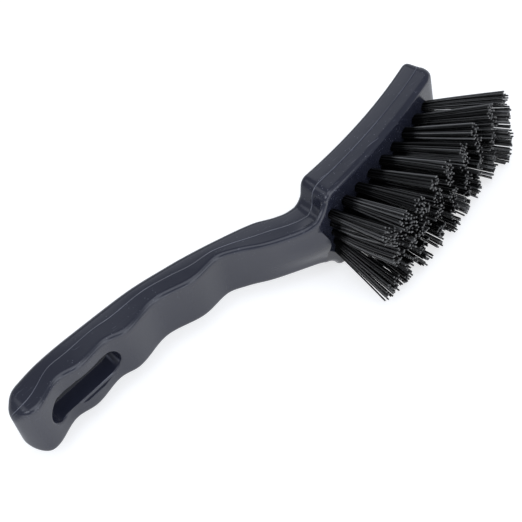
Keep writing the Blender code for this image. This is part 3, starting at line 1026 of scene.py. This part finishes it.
        rings = [(growth, self.grip_face, depth) for growth, depth in mouth]
        rings += [(waist - flash, parting, side * self.slot_flash_slope * self.slot_flash)
                  for side, flash in ((-1, 0.0), (0, self.slot_flash), (1, 0.0))]
        rings += [(growth, back, -depth) for growth, depth in reversed(mouth)]
        bm = bmesh.new()
        bridge(bm, [[bm.verts.new((middle + x, level(middle + x) + shift, z))
                     for x, z in self.stadium(growth)]
                    for growth, level, shift in rings])
        return mesh_from(bm, "slot_cutter")

    def hole_cutter(self, tufts: TuftField) -> Mesh:
        """Cutter for all the blind tuft holes, each drilled along its own tuft.

        Args:
            tufts: the tufts that go into them.

        Returns:
            The cutter's mesh.
        """
        bm = bmesh.new()
        above = 2 * tufts.hole_radius
        middle = Matrix.Translation((0.0, 0.0, (above - tufts.hole_depth) / 2))
        for axis in tufts.axes():
            bmesh.ops.create_cone(bm, cap_ends=True, segments=self.hole_sides, radius1=tufts.hole_radius,
                                  radius2=tufts.hole_radius, depth=tufts.hole_depth + above,
                                  matrix=axis.matrix() @ middle)
        return mesh_from(bm, "hole_cutter")

    def build(self, tufts: TuftField, finish: Material) -> Object:
        """Build and dress the body in place of its solid.

        Args:
            tufts: the tufts whose holes it carries.
            finish: its material.

        Returns:
            The finished piece.
        """
        body = add_object("moulded_body", self.loft())
        cutters = [add_object("slot_cutter", self.slot_cutter()),
                   add_object("hole_cutter", self.hole_cutter(tufts))]
        for cutter in cutters:
            cut = body.modifiers.new(cutter.name, "BOOLEAN")
            cut.operation = "DIFFERENCE"
            cut.solver = "EXACT"
            cut.object = cutter
        mesh = baked(body)
        body.modifiers.clear()
        body.data = mesh
        for cutter in cutters:
            bpy.data.objects.remove(cutter, do_unlink=True)
        mesh.transform(Matrix.Translation(self.place()))
        mesh.materials.clear()
        mesh.materials.append(finish)
        mesh.shade_smooth()
        mesh.set_sharp_from_angle(angle=self.sharp_turn)
        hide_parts("handle_body")
        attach(body, "root")
        return body


@dataclass(frozen=True)
class TuftAxis:
    """Place of one tuft: its row and column, its root on the bristle face and its direction."""

    row: int
    column: int
    root: Vector
    outward: Vector

    @property
    def seed(self) -> int:
        """Seed of everything random about the tuft."""
        return 100 * self.row + self.column

    def matrix(self) -> Matrix:
        """Matrix that sets the tuft's own +Z along its direction, with its root at its place."""
        return Matrix.Translation(self.root) @ self.outward.to_track_quat("Z", "Y").to_matrix().to_4x4()


@dataclass
class TuftField:
    """Bristle tufts in straight rows and columns that fan out both ways."""

    body: MouldedBody
    column_pitch: float = 0.00745
    row_pitch: float = 0.0045
    row_middle: float = 0.0010
    heel_margin: float = 0.00495
    columns: int = 9
    rows: int = 5
    first_lean: float = radians(1.1)
    last_lean: float = radians(34.2)
    row_splay: float = radians(6.4)
    hole_radius: float = 0.0018
    hole_depth: float = 0.0070
    filaments: int = 20
    filament_radius: float = 0.00032
    filament_sides: int = 8
    filament_segments: int = 4
    length: float = 0.0277
    buried: float = 0.0058
    root_radius: float = 0.00148
    fan_radius: float = 0.0030
    trim: float = 0.0006
    stray: float = 0.0014
    stray_power: float = 24.0
    wander: float = 0.00035
    curl: float = 0.00035
    curl_turn: float = 0.35
    anchor_size: tuple = (0.0026, 0.0005, 0.0012)
    anchor_gap: float = 0.0001
    anchor_bevel: float = 0.00008
    heel_sets: tuple = (-0.0015, 0.0010, 0.0042, 0.0054, 0.0018)
    heel_lifts: tuple = (0.0022, -0.0008, 0.0, 0.0, 0.0)
    heel_fan: float = 0.14
    heel_power: int = 4
    row_lifts: tuple = (0.0003, 0.0012, 0.0022, 0.0030, 0.0)
    tip_columns: int = 2
    tip_set: float = 0.0018
    tip_drop: float = 0.0029
    tip_growth: float = 0.0020
    next_rise: float = 0.0008
    unevenness: float = 0.0006
    bend_power: float = 1.4
    sharp_turn: float = radians(60)

    def axes(self) -> list[TuftAxis]:
        """Lay out the tufts.

        Returns:
            Row, column, root and direction of every tuft.
        """
        body = self.body
        axes = []
        for column in range(self.columns):
            turn = body.face_heel_slope + (self.heel_margin + column * self.column_pitch) / body.face_radius
            x = body.face_radius * (sin(turn) - sin(body.face_heel_slope))
            lean = self.first_lean + column / (self.columns - 1) * (self.last_lean - self.first_lean)
            for row in range(self.rows):
                place = row - (self.rows - 1) / 2
                splay = place * self.row_splay
                root = Vector((x, body.face_level(x), self.row_middle + place * self.row_pitch))
                outward = Vector((cos(splay) * sin(lean), -cos(splay) * cos(lean), sin(splay)))
                axes.append(TuftAxis(row + 1, column + 1, root, outward))
        return axes

    def share_along(self, axis: TuftAxis) -> float:
        """Place of a tuft's column along the head: 0 at the heel and 1 at the tip."""
        return (axis.column - 1) / (self.columns - 1)

    def heel_share(self, axis: TuftAxis) -> float:
        """How much a tuft belongs to the heel of the head: 1 in the first column, soon 0 further in."""
        return (1 - self.share_along(axis)) ** self.heel_power

    def outer_share(self, axis: TuftAxis) -> float:
        """How much a tuft belongs to the tip of the head: 1 in the last column, and less before it."""
        return max(0.0, 1 - (self.columns - axis.column) / self.tip_columns)

    def bend(self, axis: TuftAxis) -> Vector:
        """How far use has bent the tips of a tuft: most at the heel, least in the middle columns.

        Args:
            axis: the tuft's place.

        Returns:
            The shift of its tips.
        """
        dice = random.Random(axis.seed)
        row = axis.row - 1
        along = self.heel_sets[row] * self.heel_share(axis) + self.tip_set * self.outer_share(axis)
        lift = self.row_lifts[row] * (1 - self.share_along(axis) ** 2)
        lift += self.heel_lifts[row] * self.heel_share(axis)
        if axis.column == self.columns:
            lift -= self.tip_drop * row / (self.rows - 1)
        elif axis.column == self.columns - 1:
            lift += self.next_rise
        return Vector([shift + dice.uniform(-1, 1) * self.unevenness for shift in (along, 0.0, lift)])

    def bundle_tree(self, filament: Material) -> NodeTree:
        """Geometry nodes that lay a round bundle of filaments and fan it out to its trimmed end.

        Args:
            filament: the material of the filaments.

        Returns:
            The node group, whose named inputs are the sizes of one tuft.
        """
        tree = bpy.data.node_groups.new("filament_bundle", "GeometryNodeTree")
        given = self.bundle_inputs(tree)
        add = partial(add_node, tree)

        def scatter(draw: Draw, reach: NodeSocket | float) -> Node:
            """Add a random value for each filament, fixed by the seed.

            Args:
                draw: which of the filament's draws it is.
                reach: how far from 0 it may be, either way.

            Returns:
                The node that gives it.
            """
            seed = add("ShaderNodeMath", {0: given["Seed"], 1: float(draw)}, operation="ADD")
            value = add("FunctionNodeRandomValue", {"Seed": seed, 2: -1.0, 3: 1.0}, data_type="FLOAT")
            return add("ShaderNodeMath", {0: value.outputs[1], 1: reach}, operation="MULTIPLY")

        # Each filament's place in the round bundle, on a spiral that fills it evenly.
        index = add("GeometryNodeInputIndex")
        number = add("ShaderNodeMath", {0: index, 1: 0.5}, operation="ADD")
        part = add("ShaderNodeMath", {0: number, 1: given["Filaments"]}, operation="DIVIDE")
        reach = add("ShaderNodeMath", {0: part}, operation="SQRT")
        spiral = add("ShaderNodeMath", {0: index, 1: GOLDEN_ANGLE}, operation="MULTIPLY")
        turn = add("ShaderNodeMath", {0: spiral, 1: given["Seed"]}, operation="ADD")
        cosine = add("ShaderNodeMath", {0: turn}, operation="COSINE")
        sine = add("ShaderNodeMath", {0: turn}, operation="SINE")
        across = add("ShaderNodeMath", {0: cosine, 1: reach}, operation="MULTIPLY")
        up = add("ShaderNodeMath", {0: sine, 1: reach}, operation="MULTIPLY")

        # Its two ends, in the tuft's own frame.
        root_across = add("ShaderNodeMath", {0: across, 1: given["Root Radius"]}, operation="MULTIPLY")
        root_up = add("ShaderNodeMath", {0: up, 1: given["Root Radius"]}, operation="MULTIPLY")
        root_level = add("ShaderNodeMath", {0: given["Buried"], 1: -1.0}, operation="MULTIPLY")
        root = add("ShaderNodeCombineXYZ", {0: root_across, 1: root_up, 2: root_level})
        stray = add("ShaderNodeMath", {0: scatter(Draw.STRAY, 1.0)}, operation="ABSOLUTE")
        rare = add("ShaderNodeMath", {0: stray, 1: self.stray_power}, operation="POWER")
        longer = add("ShaderNodeMath", {0: rare, 1: given["Stray"]}, operation="MULTIPLY")
        ends = add("ShaderNodeMath", {0: scatter(Draw.TRIM, given["Trim"]), 1: longer}, operation="ADD")
        tip_across = add("ShaderNodeMath", {0: across, 1: given["Fan Radius"],
                                            2: scatter(Draw.ACROSS, given["Wander"])},
                         operation="MULTIPLY_ADD")
        tip_up = add("ShaderNodeMath", {0: up, 1: given["Fan Radius"],
                                        2: scatter(Draw.UP, given["Wander"])}, operation="MULTIPLY_ADD")
        tip_level = add("ShaderNodeMath", {0: given["Length"], 1: ends}, operation="ADD")
        tip = add("ShaderNodeCombineXYZ", {0: tip_across, 1: tip_up, 2: tip_level})
        way = add("ShaderNodeVectorMath", {0: tip, 1: root}, operation="SUBTRACT")
        span = add("ShaderNodeVectorMath", {0: way}, operation="LENGTH").outputs["Value"]

        # The filament itself, one unit long, laid from its root to its tip.
        rod = add("GeometryNodeMeshCylinder", {"Vertices": self.filament_sides, "Radius": given["Radius"],
                                               "Side Segments": self.filament_segments, "Depth": 1.0})
        lifted = add("GeometryNodeTransform", {"Geometry": rod, "Translation": (0.0, 0.0, 0.5)})
        height = add("ShaderNodeSeparateXYZ", {0: add("GeometryNodeInputPosition")}).outputs["Z"]
        marked = add("GeometryNodeStoreNamedAttribute", {"Geometry": lifted, "Name": "along", "Value": height},
                     data_type="FLOAT", domain="POINT")
        aimed = add("FunctionNodeAlignRotationToVector", {"Factor": 1.0, "Vector": way}, axis="Z")
        points = add("GeometryNodePoints", {"Count": given["Filaments"], "Position": root})
        laid = add("GeometryNodeInstanceOnPoints",
                   {"Points": points, "Instance": marked, "Rotation": aimed,
                    "Scale": add("ShaderNodeCombineXYZ", {0: 1.0, 1: 1.0, 2: span})})
        # A random tone for each filament, which the nylon paints as darker shade or a paler highlight.
        tone = add("ShaderNodeMath", {0: scatter(Draw.TONE, 0.5), 1: 0.5}, operation="ADD")
        toned = add("GeometryNodeStoreNamedAttribute", {"Geometry": laid, "Name": "tone", "Value": tone},
                    data_type="FLOAT", domain="INSTANCE")
        curl = add("ShaderNodeCombineXYZ", {0: scatter(Draw.CURL_ACROSS, given["Curl"]),
                                            1: scatter(Draw.CURL_UP, given["Curl"]), 2: 0.0})
        curled = add("GeometryNodeStoreNamedAttribute", {"Geometry": toned, "Name": "curl", "Value": curl},
                     data_type="FLOAT_VECTOR", domain="INSTANCE")
        real = add("GeometryNodeRealizeInstances", {"Geometry": curled})

        # Its own slight curl, and the bend that use has given the whole tuft.
        along = add("GeometryNodeInputNamedAttribute", {"Name": "along"}, data_type="FLOAT")
        curl_read = add("GeometryNodeInputNamedAttribute", {"Name": "curl"}, data_type="FLOAT_VECTOR")
        past = add("ShaderNodeMath", {0: along, 1: self.curl_turn}, operation="SUBTRACT")
        bow = add("ShaderNodeMath", {0: along, 1: past}, operation="MULTIPLY")
        offset = add("ShaderNodeVectorMath", {0: curl_read, "Scale": bow}, operation="SCALE")
        bowed = add("GeometryNodeSetPosition", {"Geometry": real, "Offset": offset})
        placed = add("GeometryNodeTransform",
                     {"Geometry": bowed, "Translation": given["Root"], "Rotation": given["Turn"]})
        free = add("ShaderNodeMapRange", {0: along, 1: self.buried / (self.buried + self.length)})
        bend = add("ShaderNodeMath", {0: free, 1: self.bend_power}, operation="POWER")
        shift = add("ShaderNodeVectorMath", {0: given["Bend"], "Scale": bend}, operation="SCALE")
        bent = add("GeometryNodeSetPosition", {"Geometry": placed, "Offset": shift})
        finished = add("GeometryNodeSetMaterial", {"Geometry": bent, "Material": filament})
        add("NodeGroupOutput", {0: finished})
        return tree

    def bundle_inputs(self, tree: NodeTree) -> bpy.types.NodeOutputs:
        """Give the bundle's node group its inputs and its output.

        Args:
            tree: the node group.

        Returns:
            The sockets of its inputs, by their names.
        """
        nowhere = (0.0, 0.0, 0.0)
        kinds = {
            "NodeSocketInt": {"Filaments": self.filaments, "Seed": 0},
            "NodeSocketFloat": {"Radius": self.filament_radius, "Length": self.length, "Buried": self.buried,
                                "Root Radius": self.root_radius, "Fan Radius": self.fan_radius,
                                "Trim": self.trim, "Stray": self.stray, "Wander": self.wander,
                                "Curl": self.curl},
            "NodeSocketVector": {"Root": nowhere, "Turn": nowhere, "Bend": nowhere},
        }
        tree.interface.new_socket("Geometry", in_out="INPUT", socket_type="NodeSocketGeometry")
        for kind, sockets in kinds.items():
            for name, value in sockets.items():
                tree.interface.new_socket(name, in_out="INPUT", socket_type=kind).default_value = value
        tree.interface.new_socket("Geometry", in_out="OUTPUT", socket_type="NodeSocketGeometry")
        return add_node(tree, "NodeGroupInput").outputs

    def bundle(self, axis: TuftAxis, tree: NodeTree) -> Mesh:
        """Lay the filaments of one tuft in the frame of the solids.

        Args:
            axis: the tuft's place.
            tree: the bundle's node group.

        Returns:
            Their plain mesh.
        """
        carrier = add_object("bundle_carrier", bpy.data.meshes.new("bundle_carrier"))
        modifier = carrier.modifiers.new("filament_bundle", "NODES")
        modifier.node_group = tree
        values = {
            "Seed": axis.seed,
            "Fan Radius": self.fan_radius * (1 + self.heel_fan * self.heel_share(axis)),
            "Length": self.length + self.tip_growth * self.outer_share(axis),
            "Root": axis.root + self.body.place(),
            "Turn": axis.matrix().to_euler("XYZ")[:],
            "Bend": self.bend(axis),
        }
        for item in tree.interface.items_tree:
            if item.in_out == "INPUT" and item.name in values:
                modifier[item.identifier] = values[item.name]
        mesh = baked(carrier)
        bpy.data.objects.remove(carrier, do_unlink=True)
        return mesh

    def anchor(self, axis: TuftAxis) -> Mesh:
        """Flat steel anchor across the fold of one tuft, at the bottom of its hole.

        Args:
            axis: the tuft's place.

        Returns:
            Its mesh, in the frame of the solids.
        """
        bm = bmesh.new()
        size = Matrix.Diagonal((*self.anchor_size, 1.0))
        down = Matrix.Translation((0.0, 0.0, -self.buried - self.anchor_gap))
        bmesh.ops.create_cube(bm, size=1.0,
                              matrix=Matrix.Translation(self.body.place()) @ axis.matrix() @ down @ size)
        bmesh.ops.bevel(bm, geom=bm.edges, offset=self.anchor_bevel, segments=1, affect="EDGES")
        return mesh_from(bm, "anchor")

    def build(self, filament: Material, steel: Material) -> list[Object]:
        """Build and dress every tuft in place of its solid.

        Args:
            filament: the material of the filaments.
            steel: the material of the anchors.

        Returns:
            The finished pieces.
        """
        tree = self.bundle_tree(filament)
        pieces = []
        for axis in self.axes():
            bm = bmesh.new()
            bm.from_mesh(self.bundle(axis, tree))
            strands = len(bm.faces)
            bm.from_mesh(self.anchor(axis))
            for number, face in enumerate(bm.faces):
                face.material_index = 0 if number < strands else 1
            name = f"filament_tuft_{axis.row}_{axis.column}"
            mesh = bpy.data.meshes.new(name)
            bm.to_mesh(mesh)
            bm.free()
            mesh.materials.append(filament)
            mesh.materials.append(steel)
            mesh.shade_smooth()
            mesh.set_sharp_from_angle(angle=self.sharp_turn)
            tuft = add_object(name, mesh)
            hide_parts(f"tuft_row{axis.row}_col{axis.column}")
            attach(tuft, "root")
            pieces.append(tuft)
        return pieces


@dataclass(frozen=True)
class SoftLamp:
    """One round soft box, given by the part of the surroundings that it fills as the brush sees it."""

    name: str
    way: tuple[float, float, float]
    half_angle: float
    radiance: float
    colour: str = "f1f6ff"
    distance: float = 2.5

    def build(self) -> None:
        """Hang the lamp and turn it to the brush. Its power is pi times its area times its radiance."""
        radius = self.distance * tan(radians(self.half_angle))
        data = bpy.data.lights.new(self.name, "AREA")
        data.shape = "DISK"
        data.size = 2 * radius
        data.energy = self.radiance * (pi * radius) ** 2
        data.color = linear(self.colour)[:3]
        lamp = add_object(self.name, data)
        way = Vector(self.way).normalized()
        lamp.location = self.distance * way
        lamp.rotation_euler = way.to_track_quat("Z", "Y").to_euler()


@dataclass
class Studio:
    """White paper, soft lamps and the camera of the photograph."""

    floor_size: float = 6.0
    air_level: float = 0.34
    air_colour: str = "f1f6ff"
    white: str = "ffffff"
    camera_eye: tuple[float, float, float] = (-0.167811, -0.257171, 0.338707)
    camera_forward: tuple[float, float, float] = (0.32266, 0.58356, -0.74522)
    camera_up: tuple[float, float, float] = (0.58162, 0.49890, 0.64250)
    focal_px: float = 1300.0
    image_px: float = 522.0
    sensor_mm: float = 36.0
    clip_near: float = 0.01
    clip_far: float = 20.0
    lamps: tuple[SoftLamp, ...] = (
        SoftLamp("top_soft_box", (0.06, -0.26, 0.96), 24.0, 1.6),
        SoftLamp("front_soft_box", (0.33, -0.80, 0.50), 20.0, 2.1),
        SoftLamp("low_left_soft_box", (-0.35, -0.92, 0.17), 17.0, 1.3),
        SoftLamp("low_front_soft_box", (0.05, -0.99, 0.11), 14.0, 1.8),
        SoftLamp("left_soft_box", (-0.69, -0.16, 0.70), 19.0, 2.3),
        SoftLamp("back_left_soft_box", (-0.43, 0.50, 0.75), 14.0, 0.8),
        SoftLamp("back_right_soft_box", (0.42, 0.73, 0.54), 14.0, 0.75),
    )

    def build_floor(self, level: float, finish: Material) -> None:
        """Lay the paper.

        Args:
            level: the height of its surface.
            finish: its material.
        """
        bm = bmesh.new()
        bmesh.ops.create_grid(bm, x_segments=1, y_segments=1, size=self.floor_size / 2,
                              matrix=Matrix.Translation((0.0, 0.0, level)))
        floor = add_object("paper_floor", mesh_from(bm, "paper_floor"))
        if floor.data.polygons[0].normal.z < 0:
            floor.data.flip_normals()
        floor.data.materials.append(finish)
        floor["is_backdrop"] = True

    def build_world(self) -> None:
        """Even light from all round, which the camera sees as white."""
        world = bpy.data.worlds.new("studio_air")
        bpy.context.scene.world = world
        world.use_nodes = True
        tree = world.node_tree
        tree.nodes.clear()
        seen = add_node(tree, "ShaderNodeLightPath").outputs["Is Camera Ray"]
        fill = add_node(tree, "ShaderNodeBackground", {0: linear(self.air_colour), 1: self.air_level})
        white = add_node(tree, "ShaderNodeBackground", {0: linear(self.white), 1: 1.0})
        mix = add_node(tree, "ShaderNodeMixShader", {0: seen, 1: fill, 2: white})
        add_node(tree, "ShaderNodeOutputWorld", {0: mix})

    def build_camera(self, shift: Vector) -> None:
        """Set the camera of the photograph.

        Args:
            shift: from the design frame to the frame of the solids.
        """
        data = bpy.data.cameras.new("photo_camera")
        data.sensor_width = self.sensor_mm
        data.lens = self.focal_px / self.image_px * self.sensor_mm
        data.clip_start = self.clip_near
        data.clip_end = self.clip_far
        camera = add_object("photo_camera", data)
        forward = Vector(self.camera_forward).normalized()
        right = forward.cross(Vector(self.camera_up)).normalized()
        up = right.cross(forward)
        turn = Matrix((right, up, -forward)).transposed().to_4x4()
        camera.matrix_world = Matrix.Translation(Vector(self.camera_eye) + shift) @ turn
        bpy.context.scene.camera = camera

    def build(self, shift: Vector, finish: Material) -> None:
        """Build the studio round the brush.

        Args:
            shift: from the design frame to the frame of the solids.
            finish: the paper's material.
        """
        bpy.context.scene.view_settings.view_transform = "Standard"
        self.build_floor(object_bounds()[0].z, finish)
        self.build_world()
        for lamp in self.lamps:
            lamp.build()
        self.build_camera(shift)


def main() -> None:
    """Build the brush and its studio, and log the faces of each piece."""
    logging.basicConfig(level=logging.INFO, format="%(name)s: %(message)s")
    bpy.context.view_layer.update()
    body = MouldedBody()
    tufts = TuftField(body)
    pieces = [body.build(tufts, MouldedPolypropylene().build())]
    pieces += tufts.build(DrawnNylon().build(), GalvanisedSteel().build())
    for piece in pieces:
        LOG.info("%s: %d faces", piece.name, len(piece.data.polygons))
    Studio().build(body.place(), PaperSweep().build())
    LOG.info("studio: floor, lamps and camera")


if __name__ == "__main__":
    main()
